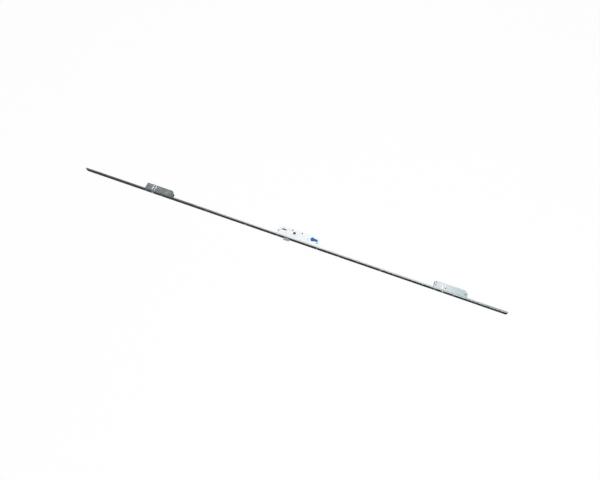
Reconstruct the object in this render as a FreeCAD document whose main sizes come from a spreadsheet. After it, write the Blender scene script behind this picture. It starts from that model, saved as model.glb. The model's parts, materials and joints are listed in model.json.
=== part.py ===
# Multipoint door lock, worked by a cylinder key and a lever handle.
# The lock lies on its side: +X runs along the face rail towards its lower end, +Y runs back from the
# rail's front face into the door, and +Z is square to the side plates. The origin is on the middle
# of the rail's front face, level with the spindle. Every length is in millimetres.
import FreeCAD, Part

import math
import os
import re

import Sketcher

Vector = FreeCAD.Vector
NEAR = 0.01

# Driving dimensions: name, value and meaning
SIZES = [
    ("rail_up", 1130, "rail above the spindle"),
    ("rail_down", 1020, "rail below the spindle"),
    ("rail_width", 24, "width of the face rail"),
    ("rail_depth", 6, "depth of the rail's two legs"),
    ("rail_wall", 2, "thickness of the rail"),
    ("rail_bend", 1.5, "outer radius of the rail's two bends"),
    ("end_setback", 20, "first and last screw hole from the rail's ends"),
    ("outer_screw_up", 120, "screw hole above the upper bolt"),
    ("outer_screw_down", 150, "screw hole below the lower bolt"),
    ("far_screw", 0.76, "screw holes near the outer cases, as a share of the bolt's distance"),
    ("near_screw", 0.44, "screw holes near the main case, as a share of the bolt's distance"),
    ("main_screw", 25, "screw holes beyond the ends of the main case"),
    ("screw_hole", 5, "hole for a countersunk wood screw"),
    ("screw_head", 8.4, "countersink of a wood screw"),
    ("cylinder_screw", 5.4, "hole for the cylinder's fixing screw"),
    ("backset", 35, "spindle axis behind the rail's front face"),
    ("centres", 92, "spindle to cylinder"),
    ("running", 0.1, "running clearance on each side"),
    ("loose", 0.3, "clearance round what passes through a sheet"),
    ("pivot", 0.08, "radial clearance of what turns or is riveted"),
    ("case_thickness", 16, "thickness of the three cases"),
    ("case_wall", 1.25, "sheet of the cases"),
    ("main_up", 85, "main case above the spindle"),
    ("main_down", 135, "main case below the spindle"),
    ("main_depth", 52, "back edge of the main case"),
    ("main_shoulder", 27, "depth where the main case starts to slant"),
    ("main_slant", 18, "how far the upper slant runs in"),
    ("main_rake", 14, "how far the lower end leans in"),
    ("main_corner", 4, "corner radius of the main case"),
    ("outer_up", 44, "outer case above its bolt"),
    ("outer_down", 108, "outer case below its bolt"),
    ("outer_depth", 40, "back edge of the outer cases"),
    ("outer_chamfer", 13, "cut corner of the outer cases"),
    ("outer_corner", 5, "corner radius of the outer cases"),
    ("upper_bolt_x", -750, "upper pin bolt from the spindle"),
    ("lower_bolt_x", 730, "lower pin bolt from the spindle"),
    ("bolt_throw", 20, "throw of every bolt and of the drive"),
    ("pin_bolt", 10, "diameter of the pin bolts"),
    ("bolt_sunk", 0.3, "retracted bolts behind the front face"),
    ("bolt_chamfer", 1, "chamfer of the pin bolts"),
    ("carriage_length", 22, "bolt carriage along the rail"),
    ("carriage_depth", 9, "bolt carriage front to back"),
    ("carriage_y", 33, "guide pins behind the front face, bolts retracted"),
    ("inner_height", 10, "height of the bolts and carriages between the side plates"),
    ("guide_pin", 4.4, "pins that run in the guide slots"),
    ("guide_pitch", 13.6, "distance between the two guide slots"),
    ("slide_sheet", 1.4, "sheet of the sliding plates"),
    ("cam_margin", 3.2, "sheet left round a slanted slot"),
    ("cam_strip", 12, "width of the cam plate's tail"),
    ("cam_tail", 92, "end of the cam plate's tail from the bolt"),
    ("lug_length", 8, "coupling lugs along the rail"),
    ("outer_lug_x", 78, "coupling lug of a cam plate from its bolt"),
    ("rod_width", 16, "width of the drive rods"),
    ("rod_thickness", 2.6, "thickness of the drive rods"),
    ("rod_reach_up", 65, "upper rod beyond the upper bolt"),
    ("rod_reach_down", 120, "lower rod beyond the lower bolt"),
    ("upper_rod_start", 48, "upper rod's end above the spindle"),
    ("lower_rod_start", 116.5, "lower rod's end below the spindle"),
    ("rivet", 6, "shank of the rivets that pass through the rods"),
    ("rivet_head", 9, "head of those rivets"),
    ("rivet_sheet", 1.2, "thickness of their inner heads"),
    ("far_rivet", 0.6, "rod rivets near the outer cases, as a share of the bolt's distance"),
    ("near_rivet", 0.32, "rod rivets near the main case, as a share of the bolt's distance"),
    ("main_rivet_inset", 9.5, "case rivets from the ends of the main case"),
    ("outer_rivet_up", 37, "case rivet above an outer bolt"),
    ("outer_rivet_down", 50, "case rivet below an outer bolt"),
    ("pillar", 6.8, "outside of the hollow case pillars"),
    ("pillar_neck", 5.8, "necks of the pillars in the side plates"),
    ("pillar_bore", 4, "bore of the case pillars"),
    ("pillar_inset", 4.9, "back pillars from the back edge of the main case"),
    ("pillar_y", 24, "front pillars of the main case behind the front face"),
    ("upper_pillar_inset", 8, "front pillar from the upper end of the main case"),
    ("lower_pillar_inset", 17, "front pillar from the lower end of the main case"),
    ("back_pillar_up", 13, "back pillar above the spindle"),
    ("back_pillar_down", 36, "back pillar below the spindle"),
    ("outer_pillar_y", 20, "front pillars of the outer cases behind the front face"),
    ("outer_pillar_inset", 6.8, "upper pillars from the edges of the outer case"),
    ("tail_pillar_inset", 10, "last pillar from the lower end of the outer case"),
    ("latch_x", -26.5, "middle of the latch"),
    ("latch_length", 29, "latch along the rail"),
    ("latch_height", 10.4, "latch between the side plates"),
    ("latch_reach", 10.5, "latch in front of the rail"),
    ("latch_body", 12, "latch behind the front face"),
    ("latch_flat", 3, "blunt edge of the latch's bevel"),
    ("latch_root", 1, "end of the latch's bevel in front of the rail"),
    ("latch_shoulder", 1.5, "latch wider inside the case, on each side"),
    ("shank_width", 4, "square shank of the latch"),
    ("shank_shift", 7.5, "shank from the latch's middle"),
    ("hook_sheet", 3, "thickness of the latch's hook"),
    ("spring_outer", 9, "outside of the latch spring"),
    ("spring_wire", 1.1, "wire of the springs"),
    ("latch_spring_length", 17.4, "latch spring as fitted"),
    ("stop_sheet", 1.5, "latch spring's stop plate"),
    ("stop_reach", 6, "half of the stop plate's length"),
    ("small_spring", 5, "outside of the follower spring"),
    ("follower_spring_y", 47.6, "follower spring behind the front face"),
    ("follower_hub", 20, "follower hub"),
    ("follower_collar", 14.2, "follower collars in the side plates"),
    ("follower_square", 8.1, "square for an 8 mm spindle"),
    ("follower_arm", 18.5, "follower's arm, to the middle of its round tip"),
    ("arm_tip", 5, "width of the follower's arm at its tip"),
    ("arm_lean", 16.5, "arm's lean at rest, half of the follower's turn"),
    ("horn_reach", 14.5, "horn that the follower spring pushes"),
    ("horn_width", 5, "width of that horn"),
    ("deadbolt_x", 40, "middle of the deadbolt"),
    ("deadbolt_length", 28, "deadbolt along the rail"),
    ("deadbolt_tail", 35, "back of the deadbolt, retracted"),
    ("deadbolt_pin_y", 31.5, "deadbolt's pin behind the front face"),
    ("slide_front", 7.6, "front edge of the main slide"),
    ("slide_up", 62, "upper end of the main slide"),
    ("slide_down", 128, "lower end of the main slide"),
    ("slide_end_width", 6.4, "width of the main slide at its lower end"),
    ("slide_end_taper", 18, "length over which that end narrows"),
    ("gear_x", 68, "locking gear below the spindle"),
    ("gear_y", 29, "locking gear behind the front face"),
    ("gear_teeth", 20, "teeth of the locking gear"),
    ("gear_module", 1, "tooth size"),
    ("pressure_angle", 20, "pressure angle of the teeth, in degrees"),
    ("gear_backlash", 0.12, "play between the teeth"),
    ("addendum", 0.9, "tooth above the pitch line, in modules"),
    ("dedendum", 1.25, "tooth below the pitch line, in modules"),
    ("gear_face", 9, "height of the locking gear"),
    ("gear_arbor", 5, "arbor of the locking gear"),
    ("rack_teeth", 12, "teeth of the slide's rack"),
    ("cylinder_round", 17, "round part of the cylinder"),
    ("cylinder_tail", 10, "width of the cylinder's tail"),
    ("cylinder_drop", 24.5, "end of the cylinder's tail from its axis"),
    ("cylinder_gap", 0.3, "cut-out larger than the cylinder on each side"),
    ("plug_wall", 1.4, "wall of the moulded plug"),
    ("plug_floor", 2.4, "depth of the finger hollow in the plug"),
    ("plug_hollow", 10, "depth of the hollow under the plug"),
    ("plug_lip", 0.9, "lip of the plug on the side plate"),
    ("lip_rise", 0.6, "rise of pressed and moulded lips"),
    ("lip_width", 6, "pressed lip behind the slot beside the latch"),
    ("latch_slot_start", -65, "upper end of the slot beside the latch"),
    ("latch_slot_end", -41, "lower end of that slot"),
    ("latch_slot_y", 37.2, "that slot behind the front face"),
    ("latch_slot_width", 5.2, "width of that slot"),
]

# Screw holes of the rail, from the spindle
SCREW_HOLES = [
    "end_setback - rail_up",
    "upper_bolt_x - outer_screw_up",
    "upper_bolt_x * far_screw",
    "upper_bolt_x * near_screw",
    "-main_up - main_screw",
    "main_down + main_screw",
    "lower_bolt_x * near_screw",
    "lower_bolt_x * far_screw",
    "lower_bolt_x + outer_screw_down",
    "rail_down - end_setback",
]

# Rivets that only guide a drive rod in the rail
ROD_RIVETS = [
    "upper_bolt_x * far_rivet",
    "upper_bolt_x * near_rivet",
    "lower_bolt_x * near_rivet",
    "lower_bolt_x * far_rivet",
]

# Rivets that hold a case to the rail: two in the main case, two from each outer case's bolt
MAIN_RIVETS = ["main_rivet_inset - main_up", "main_down - main_rivet_inset"]
OUTER_RIVETS = ["-outer_rivet_up", "outer_rivet_down"]
SIDES = ("upper", "lower")
CASE_RIVETS = MAIN_RIVETS + [f"{side}_bolt_x + {x}" for side in SIDES for x in OUTER_RIVETS]

# Hollow pillars between the side plates, as (x, y); the outer ones count from the bolt
BACK_PILLARS = "main_depth - pillar_inset"
MAIN_PILLARS = [
    ("upper_pillar_inset - main_up", "pillar_y"),
    ("-back_pillar_up", BACK_PILLARS),
    ("back_pillar_down", BACK_PILLARS),
    ("main_down - lower_pillar_inset", "pillar_y"),
]
OUTER_PILLARS = [
    ("outer_pillar_inset - outer_up", "outer_pillar_y"),
    ("outer_pillar_inset - outer_up", "outer_depth - outer_pillar_inset"),
    ("outer_down - tail_pillar_inset", "outer_pillar_y"),
]

doc = FreeCAD.newDocument("multipoint_lock")
sheet = doc.addObject("Spreadsheet::Sheet", "Sizes")
for row, (alias, number, meaning) in enumerate(SIZES, start=1):
    sheet.set(f"A{row}", meaning)
    sheet.set(f"B{row}", str(number))
    sheet.setAlias(f"B{row}", alias)
doc.recompute()
ALIASES = {alias for alias, _, _ in SIZES}
pieces = []


def bound(text):
    """The expression with each named size read from the sheet."""
    return re.sub(r"[a-z_]\w*", lambda word: ("Sizes." if word[0] in ALIASES else "") + word[0], str(text))


def value(text):
    """The expression's number."""
    return float(sheet.evalExpression(bound(text)))


class Drawing:
    """A sketch on one of a body's origin planes, whose points and radii are expressions."""

    def __init__(self, body, plane, height="0"):
        self.sketch = body.newObject("Sketcher::SketchObject", "sketch")
        origin = [item for item in body.Origin.OriginFeatures if item.Role == plane + "_Plane"]
        self.sketch.AttachmentSupport = [(origin[0], "")]
        self.sketch.MapMode = "FlatFace"
        self.sketch.setExpression(".AttachmentOffset.Base.z", bound(height))

    def bind(self, kind, *target, text):
        """Holds a distance, radius or angle of the sketch to an expression."""
        index = self.sketch.addConstraint(Sketcher.Constraint(kind, *target, value(text)))
        self.sketch.setExpression(f"Constraints[{index}]", bound(text))

    def pin_point(self, line, end, point):
        self.bind("DistanceX", -1, 1, line, end, text=point[0])
        self.bind("DistanceY", -1, 1, line, end, text=point[1])

    def loop(self, points):
        """A closed outline of straight lines through the points."""
        corners = [Vector(value(x), value(y), 0) for x, y in points]
        after = corners[1:] + corners[:1]
        lines = [self.sketch.addGeometry(Part.LineSegment(*ends)) for ends in zip(corners, after)]
        for line, following in zip(lines, lines[1:] + lines[:1]):
            self.sketch.addConstraint(Sketcher.Constraint("Coincident", line, 2, following, 1))
        for line, point in zip(lines, points):
            self.pin_point(line, 1, point)
        return self

    def rect(self, left, bottom, right, top):
        return self.loop([(left, bottom), (right, bottom), (right, top), (left, top)])

    def circle(self, centre, diameter):
        middle = Vector(value(centre[0]), value(centre[1]), 0)
        ring = self.sketch.addGeometry(Part.Circle(middle, Vector(0, 0, 1), value(diameter) / 2))
        self.pin_point(ring, 3, centre)
        self.bind("Diameter", ring, text=diameter)
        return self

    def slot(self, start, end, width):
        """Two parallel lines closed by half circles, from one end's centre to the other's."""
        first, last = (Vector(value(x), value(y), 0) for x, y in (start, end))
        radius = value(width) / 2
        along = last - first
        turn = math.atan2(along.y, along.x)
        side = Vector(-math.sin(turn), math.cos(turn), 0) * radius
        up = Vector(0, 0, 1)
        quarter = math.pi / 2
        shapes = [
            Part.ArcOfCircle(Part.Circle(first, up, radius), turn + quarter, turn + 3 * quarter),
            Part.LineSegment(first - side, last - side),
            Part.ArcOfCircle(Part.Circle(last, up, radius), turn - quarter, turn + quarter),
            Part.LineSegment(last + side, first + side),
        ]
        near, low, far, high = [self.sketch.addGeometry(shape) for shape in shapes]
        for join in ((near, 2, low, 1), (low, 2, far, 1), (far, 2, high, 1), (high, 2, near, 1)):
            self.sketch.addConstraint(Sketcher.Constraint("Tangent", *join))
        self.pin_point(near, 3, start)
        self.pin_point(far, 3, end)
        self.bind("Diameter", near, text=width)
        return self


class Piece:
    """A sub-part: one body of sketched features, moved to its place as a whole."""

    def __init__(self, label, x="0"):
        self.body = doc.addObject("PartDesign::Body", label)
        self.body.Label = label
        self.body.setExpression(".Placement.Base.x", bound(x))
        pieces.append(self.body)

    def draw(self, plane="XY", height="0"):
        return Drawing(self.body, plane, height)

    def feature(self, kind, drawing, **settings):
        made = self.body.newObject("PartDesign::" + kind, kind.lower())
        made.Profile = drawing.sketch
        for name, setting in settings.items():
            setattr(made, name, setting)
        drawing.sketch.Visibility = False
        return made

    def pad(self, drawing, length, back=False, both=False):
        """Adds the drawing's area, raised by a length, backwards or to both sides."""
        made = self.feature("Pad", drawing, Reversed=back, SideType="Symmetric" if both else "One side")
        made.setExpression("Length", bound(length))
        return self

    def cut(self, drawing, length=None, onward=False):
        """Takes the drawing's area away: right through both ways, or by a depth on one side."""
        if length is None:
            self.feature("Pocket", drawing, Type="ThroughAll", SideType="Symmetric")
            return self
        made = self.feature("Pocket", drawing, Reversed=onward)
        made.setExpression("Length", bound(length))
        return self

    def turn(self, drawing, axis="H_Axis"):
        """Adds a solid of revolution about one of the drawing's axes."""
        made = self.feature("Revolution", drawing)
        made.ReferenceAxis = (drawing.sketch, [axis])
        made.Angle = 360
        return self

    def edges_along(self, axis, corners):
        """Names of the straight edges along an axis that pass through corners in the plane square to it."""
        doc.recompute()
        first, second = [name for name in "xyz" if name != axis]
        wanted = [(value(one), value(other)) for one, other in corners]
        names = []
        for number, edge in enumerate(self.body.Tip.Shape.Edges, start=1):
            ends = [vertex.Point for vertex in edge.Vertexes]
            reach = abs(getattr(ends[-1] - ends[0], axis))
            at = edge.CenterOfMass
            place = (getattr(at, first), getattr(at, second))
            if reach > edge.Length - NEAR and any(math.dist(place, corner) < NEAR for corner in wanted):
                names.append(f"Edge{number}")
        return names

    def round(self, corners, radius, axis="z"):
        """Rounds the edges along an axis at the given corners."""
        before = self.body.Tip
        names = self.edges_along(axis, corners)
        made = self.body.newObject("PartDesign::Fillet", "fillet")
        made.Base = (before, names)
        made.setExpression("Radius", bound(radius))
        return self


def group(label, solids):
    """One sub-part that holds several equal pieces, made by formula from the sheet's sizes."""
    made = doc.addObject("Part::Feature", label)
    made.Label = label
    made.Shape = Part.makeCompound(solids)
    pieces.append(made)
    return made


def revolved(profile, at, axis):
    """A solid from a profile of (distance along the axis, radius), closed on the axis."""
    points = [Vector(radius, 0, along) for along, radius in profile]
    face = Part.Face(Part.makePolygon(points + points[:1]))
    solid = face.revolve(Vector(0, 0, 0), Vector(0, 0, 1), 360)
    solid.Placement = FreeCAD.Placement(at, FreeCAD.Rotation(Vector(0, 0, 1), axis))
    return solid


# Expressions that several pieces share
HALF = "case_thickness / 2"
INNER = "(case_thickness / 2 - case_wall)"
ROD_FRONT = "(rail_wall + running)"
ROD_BACK = "(rail_wall + running + rod_thickness)"
SLIDE_FLOOR = f"(running - {INNER})"
CAM_FLOOR = f"({INNER} - running - slide_sheet)"
BACK = Vector(0, 1, 0)
UP = Vector(0, 0, 1)

MAIN_OUTLINE = [
    ("-main_up", "rail_depth"),
    ("main_down", "rail_depth"),
    ("main_down - main_rake", "main_depth"),
    ("main_slant - main_up", "main_depth"),
    ("-main_up", "main_shoulder"),
]
OUTER_OUTLINE = [
    ("-outer_up", "rail_depth"),
    ("outer_down", "rail_depth"),
    ("outer_down", "outer_depth - outer_chamfer"),
    ("outer_down - outer_chamfer", "outer_depth"),
    ("-outer_up", "outer_depth"),
]


def pass_window(x, length, height):
    """Window round a bolt that slides through a front wall, as left, floor, right and top."""
    half_length = f"({length} / 2 + running)"
    half_height = f"({height} / 2 + running)"
    return (f"{x} - {half_length}", f"-{half_height}", f"{x} + {half_length}", half_height)


# The face rail: a U channel with its mouth towards the door
def make_rail():
    rail = Piece("face_rail")
    profile = [
        ("0", "-rail_width / 2"),
        ("rail_depth", "-rail_width / 2"),
        ("rail_depth", "rail_wall - rail_width / 2"),
        ("rail_wall", "rail_wall - rail_width / 2"),
        ("rail_wall", "rail_width / 2 - rail_wall"),
        ("rail_depth", "rail_width / 2 - rail_wall"),
        ("rail_depth", "rail_width / 2"),
        ("0", "rail_width / 2"),
    ]
    rail.pad(rail.draw("YZ", "-rail_up").loop(profile), "rail_up + rail_down")
    rail.round([("0", "-rail_width / 2"), ("0", "rail_width / 2")], "rail_bend", "x")
    openings = rail.draw("XZ")
    for side in SIDES:
        openings.circle((f"{side}_bolt_x", "0"), "pin_bolt + 2 * running")
    openings.rect(*pass_window("latch_x", "latch_length", "latch_height"))
    openings.rect(*pass_window("deadbolt_x", "deadbolt_length", "inner_height"))
    openings.circle(("centres", "0"), "cylinder_screw")
    for x in SCREW_HOLES:
        openings.circle((x, "0"), "screw_hole")
    for x in CASE_RIVETS + ROD_RIVETS:
        openings.circle((x, "0"), "rivet + 2 * running")
    rail.cut(openings)
    for x in SCREW_HOLES + ["centres"]:
        sink = rail.draw("XZ")
        sink.circle((x, "0"), "screw_head")
        hole = rail.feature("Pocket", sink, Reversed=False)
        hole.setExpression("Length", bound("(screw_head - screw_hole) / 2"))
        hole.TaperAngle = -45


# The drive rods: flat bars in the rail, slotted for all that passes through them
def make_rod(side, start, end, lug):
    rod = Piece(f"{side}_drive_rod")
    plate = rod.draw("XZ", f"-{ROD_FRONT}")
    rod.pad(plate.rect(start, "-rod_width / 2", end, "rod_width / 2"), "rod_thickness", back=True)
    crossings = [(x, "rivet") for x in CASE_RIVETS + ROD_RIVETS]
    crossings += [(x, "screw_hole") for x in SCREW_HOLES]
    crossings += [(f"{side}_bolt_x", "pin_bolt")]
    slots = rod.draw("XZ")
    for x, width in crossings:
        if value(start) < value(x) < value(end):
            slots.slot((x, "0"), (f"{x} + bolt_throw", "0"), f"{width} + 2 * loose")
    for x, floor in ((lug, SLIDE_FLOOR), (f"{side}_bolt_x + outer_lug_x", CAM_FLOOR)):
        sides = (f"{x} - running", f"{x} + lug_length + running")
        slots.rect(sides[0], f"{floor} - running", sides[1], f"{floor} + slide_sheet + running")
    rod.cut(slots)


# Cases: a tray with its rim towards the cover, and the flat cover
def make_tray(name, x, outline, corners, radius):
    tray = Piece(f"{name}_base", x)
    tray.pad(tray.draw("XY", f"-{HALF}").loop(outline), "case_thickness - case_wall")
    tray.round(corners, radius)
    doc.recompute()
    block = tray.body.Tip
    heights = [face.CenterOfMass.z for face in block.Shape.Faces]
    rim = heights.index(max(heights)) + 1
    shell = tray.body.newObject("PartDesign::Thickness", "shell")
    shell.Base = (block, [f"Face{rim}"])
    shell.setExpression("Value", "Sizes.case_wall")
    shell.Reversed = True
    return tray


def make_cover(name, x, outline, corners, radius):
    cover = Piece(f"{name}_cover", x)
    cover.pad(cover.draw("XY", INNER).loop(outline), "case_wall")
    cover.round(corners, radius)
    return cover


def front_windows(tray, windows, holes):
    """Opens the tray's front wall: windows as (left, floor, right, top), holes as (x, diameter)."""
    opening = tray.draw("XZ", "-rail_depth")
    for window in windows:
        opening.rect(*window)
    for x, diameter in holes:
        opening.circle((x, "0"), diameter)
    tray.cut(opening, "2 * case_wall")


def lug_window(x, floor, top):
    """Window along which a coupling lug travels, between two heights."""
    return (f"{x} - bolt_throw - loose", floor, f"{x} + lug_length + loose", top)


def make_main_case():
    corners = MAIN_OUTLINE[2:4]
    tray = make_tray("main_case", "0", MAIN_OUTLINE, corners, "main_corner")
    cover = make_cover("main_case", "0", MAIN_OUTLINE, corners, "main_corner")
    for plate in (tray, cover):
        holes = plate.draw()
        holes.circle(("0", "backset"), "follower_collar + 2 * pivot")
        holes.circle(("gear_x", "gear_y"), "gear_arbor + 2 * pivot")
        for x, y in MAIN_PILLARS:
            holes.circle((x, y), "pillar_neck + 2 * pivot")
        middle = ("centres", "backset")
        holes.circle(middle, "cylinder_round + 2 * cylinder_gap")
        plate.cut(holes)
        tail = ("centres + cylinder_drop - cylinder_tail / 2", "backset")
        plate.cut(plate.draw().slot(middle, tail, "cylinder_tail + 2 * cylinder_gap"))
    inset = "latch_slot_width / 2"
    ends = [(f"latch_slot_start + {inset}", "latch_slot_y"), (f"latch_slot_end - {inset}", "latch_slot_y")]
    cover.cut(cover.draw().slot(*ends, "latch_slot_width"))
    lip_y = "latch_slot_y + latch_slot_width / 2 + lip_width / 2"
    lip = cover.draw("XY", HALF).slot((ends[0][0], lip_y), (ends[1][0], lip_y), "lip_width")
    cover.pad(lip, "lip_rise")
    lug_top = f"{SLIDE_FLOOR} + slide_sheet + loose"
    windows = [
        pass_window("latch_x", "latch_length", "latch_height"),
        pass_window("deadbolt_x", "deadbolt_length", "inner_height"),
        lug_window("-slide_up", f"-{INNER}", lug_top),
        lug_window("slide_down - lug_length", f"-{INNER}", lug_top),
    ]
    rivets = [(x, "rivet + 2 * running") for x in MAIN_RIVETS]
    front_windows(tray, windows, rivets + [("centres", "cylinder_screw")])


def make_outer_case(side):
    x = f"{side}_bolt_x"
    corners = OUTER_OUTLINE[4:]
    name = f"{side}_case"
    tray = make_tray(name, x, OUTER_OUTLINE, corners, "outer_corner")
    cover = make_cover(name, x, OUTER_OUTLINE, corners, "outer_corner")
    for plate in (tray, cover):
        holes = plate.draw()
        for at in ("-guide_pitch / 2", "guide_pitch / 2"):
            holes.slot((at, "carriage_y - bolt_throw"), (at, "carriage_y"), "guide_pin + 2 * running")
        for at, y in OUTER_PILLARS:
            holes.circle((at, y), "pillar_neck + 2 * pivot")
        plate.cut(holes)
    rivets = [(at, "rivet + 2 * running") for at in OUTER_RIVETS]
    window = lug_window("outer_lug_x", f"{CAM_FLOOR} - loose", HALF)
    front_windows(tray, [window], rivets + [("0", "pin_bolt + 2 * running")])


# Sliding plates beside the bolts; a slanted slot turns their travel into the throw of a bolt
CAP = "(cam_margin + guide_pin / 2)"
SLANT_MARGIN = "(cam_margin + guide_pin / 2 + running) * sqrt(2)"


def slanted_slot(drawing, x, y):
    drawing.slot((x, y), (f"{x} + bolt_throw", f"{y} - bolt_throw"), "guide_pin + 2 * running")


def make_cam_plate(side):
    plate = Piece(f"{side}_cam_plate", f"{side}_bolt_x")
    top = f"carriage_y + {CAP}"
    shoulder = "slide_front + cam_strip"
    slant = f"guide_pitch / 2 + carriage_y + {SLANT_MARGIN}"
    outline = [
        (f"-guide_pitch / 2 - {CAP}", "slide_front"),
        ("outer_lug_x", "slide_front"),
        ("outer_lug_x", ROD_FRONT),
        ("outer_lug_x + lug_length", ROD_FRONT),
        ("outer_lug_x + lug_length", "slide_front"),
        ("cam_tail", "slide_front"),
        ("cam_tail", shoulder),
        (f"{slant} - ({shoulder})", shoulder),
        (f"{slant} - ({top})", top),
        (f"-guide_pitch / 2 - {CAP}", top),
    ]
    plate.pad(plate.draw("XY", CAM_FLOOR).loop(outline), "slide_sheet")
    slots = plate.draw()
    for x in ("-guide_pitch / 2", "guide_pitch / 2"):
        slanted_slot(slots, x, "carriage_y")
    plate.cut(slots)


def make_main_slide():
    slide = Piece("main_slide")
    root = "(gear_y - gear_teeth * gear_module / 2 - dedendum * gear_module)"
    top = f"deadbolt_pin_y + {CAP}"
    left = f"deadbolt_x - {CAP}"
    slant = "deadbolt_x + deadbolt_pin_y"
    outline = [
        ("-slide_up", ROD_FRONT),
        ("lug_length - slide_up", ROD_FRONT),
        ("lug_length - slide_up", "slide_front"),
        ("slide_down - lug_length", "slide_front"),
        ("slide_down - lug_length", ROD_FRONT),
        ("slide_down", ROD_FRONT),
        ("slide_down", "slide_front + slide_end_width"),
        ("slide_down - slide_end_taper", root),
        (f"{slant} + {SLANT_MARGIN} - {root}", root),
        (f"{slant} + {SLANT_MARGIN} - ({top})", top),
        (left, top),
        (left, f"{slant} - {SLANT_MARGIN} - ({left})"),
        (f"{slant} - {SLANT_MARGIN} - {root}", root),
        ("-slide_up", root),
    ]
    slide.pad(slide.draw("XY", SLIDE_FLOOR).loop(outline), "slide_sheet")
    cut = slide.draw()
    slanted_slot(cut, "deadbolt_x", "deadbolt_pin_y")
    slide.cut(cut)
    pitch_line = "(gear_y - gear_teeth * gear_module / 2)"
    first = "(gear_x - pi * gear_module)"
    tip_half = "(pi / 4 * gear_module - gear_backlash / 2 - addendum * gear_module * tan(pressure_angle))"
    root_half = "(pi / 4 * gear_module - gear_backlash / 2 + dedendum * gear_module * tan(pressure_angle))"
    tooth = slide.draw("XY", SLIDE_FLOOR).loop([
        (f"{first} - {root_half}", root),
        (f"{first} + {root_half}", root),
        (f"{first} + {tip_half}", f"{pitch_line} + addendum * gear_module"),
        (f"{first} - {tip_half}", f"{pitch_line} + addendum * gear_module"),
    ])
    slide.pad(tooth, "slide_sheet")
    doc.recompute()
    rack = slide.body.newObject("PartDesign::LinearPattern", "rack")
    rack.Originals = [slide.body.Tip]
    rack.Direction = (tooth.sketch, ["H_Axis"])
    rack.setExpression("Occurrences", "Sizes.rack_teeth")
    rack.setExpression("Length", bound("(rack_teeth - 1) * pi * gear_module"))
    slide.body.Tip = rack


# The locking gear, with involute flanks
FLANK_POINTS = 3


def involute(angle):
    """How far an involute has turned from its base circle where its pressure angle is this one."""
    return math.tan(angle) - angle


def make_gear():
    teeth = round(value("gear_teeth"))
    module = value("gear_module")
    pressure_angle = math.radians(value("pressure_angle"))
    pitch_radius = teeth * module / 2
    base_radius = pitch_radius * math.cos(pressure_angle)
    tip_radius = pitch_radius + value("addendum") * module
    root_radius = pitch_radius - value("dedendum") * module
    half_tooth = math.pi / (2 * teeth) - value("gear_backlash") / (2 * pitch_radius)
    foot = max(base_radius, root_radius)
    flank = []
    for step in range(FLANK_POINTS):
        radius = foot + (tip_radius - foot) * step / (FLANK_POINTS - 1)
        pressure = math.acos(min(1, base_radius / radius))
        flank.append((radius, half_tooth + involute(pressure_angle) - involute(pressure)))
    flank.insert(0, (root_radius, flank[0][1]))
    points = []
    for number in range(teeth):
        # Tooth gaps face the rack, so the first tooth stands half a pitch beside it.
        middle = -math.pi / 2 + (number + 0.5) * 2 * math.pi / teeth
        sides = [(radius, middle - angle) for radius, angle in flank]
        sides += [(radius, middle + angle) for radius, angle in reversed(flank)]
        points += [Vector(radius * math.cos(angle), radius * math.sin(angle), 0) for radius, angle in sides]
    wheel = Part.Face(Part.makePolygon(points + points[:1])).extrude(UP * value("gear_face"))
    bore = Part.makeCylinder(value("gear_arbor / 2 + pivot"), value("gear_face"))
    gear = doc.addObject("Part::Feature", "locking_gear")
    gear.Label = "locking_gear"
    gear.Shape = wheel.cut(bore)
    gear.Placement.Base = Vector(value("gear_x"), value("gear_y"), value(SLIDE_FLOOR))
    pieces.append(gear)
    arbor = Piece("gear_arbor")
    arbor.pad(arbor.draw().circle(("gear_x", "gear_y"), "gear_arbor"), "case_thickness", both=True)


# Bolts
def make_pin_bolt(side):
    x = f"{side}_bolt_x"
    carriage_front = "carriage_y - carriage_depth / 2"
    bolt = Piece(f"{side}_pin_bolt", x)
    profile = [
        ("0", "bolt_sunk"),
        ("pin_bolt / 2 - bolt_chamfer", "bolt_sunk"),
        ("pin_bolt / 2", "bolt_sunk + bolt_chamfer"),
        ("pin_bolt / 2", carriage_front),
        ("0", carriage_front),
    ]
    bolt.turn(bolt.draw().loop(profile), "V_Axis")
    carriage = Piece(f"{side}_bolt_carriage", x)
    half = "carriage_length / 2"
    block = carriage.draw().rect(f"-{half}", carriage_front, half, f"{carriage_front} + carriage_depth")
    carriage.pad(block, "inner_height", both=True)
    holes = carriage.draw()
    pins = Piece(f"{side}_guide_pins", x)
    shanks = pins.draw()
    for at in ("-guide_pitch / 2", "guide_pitch / 2"):
        holes.circle((at, "carriage_y"), "guide_pin")
        shanks.circle((at, "carriage_y"), "guide_pin")
    carriage.cut(holes)
    pins.pad(shanks, "case_thickness", both=True)


def make_deadbolt():
    bolt = Piece("deadbolt")
    half = "deadbolt_length / 2"
    block = bolt.draw().rect(f"deadbolt_x - {half}", "bolt_sunk", f"deadbolt_x + {half}", "deadbolt_tail")
    bolt.pad(block, "inner_height", both=True)
    bolt.cut(bolt.draw().circle(("deadbolt_x", "deadbolt_pin_y"), "guide_pin"))
    pin = Piece("deadbolt_pin")
    shank = pin.draw("XY", SLIDE_FLOOR).circle(("deadbolt_x", "deadbolt_pin_y"), "guide_pin")
    pin.pad(shank, f"inner_height / 2 - {SLIDE_FLOOR}")


# Latch, with its shank, hook and spring
SHANK_X = "(latch_x - shank_shift)"
HOOK_Y = "(backset - follower_arm * sin(arm_lean) + arm_tip / 2 + loose)"
HOOK_END = "-follower_arm * cos(arm_lean) - running"


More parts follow.
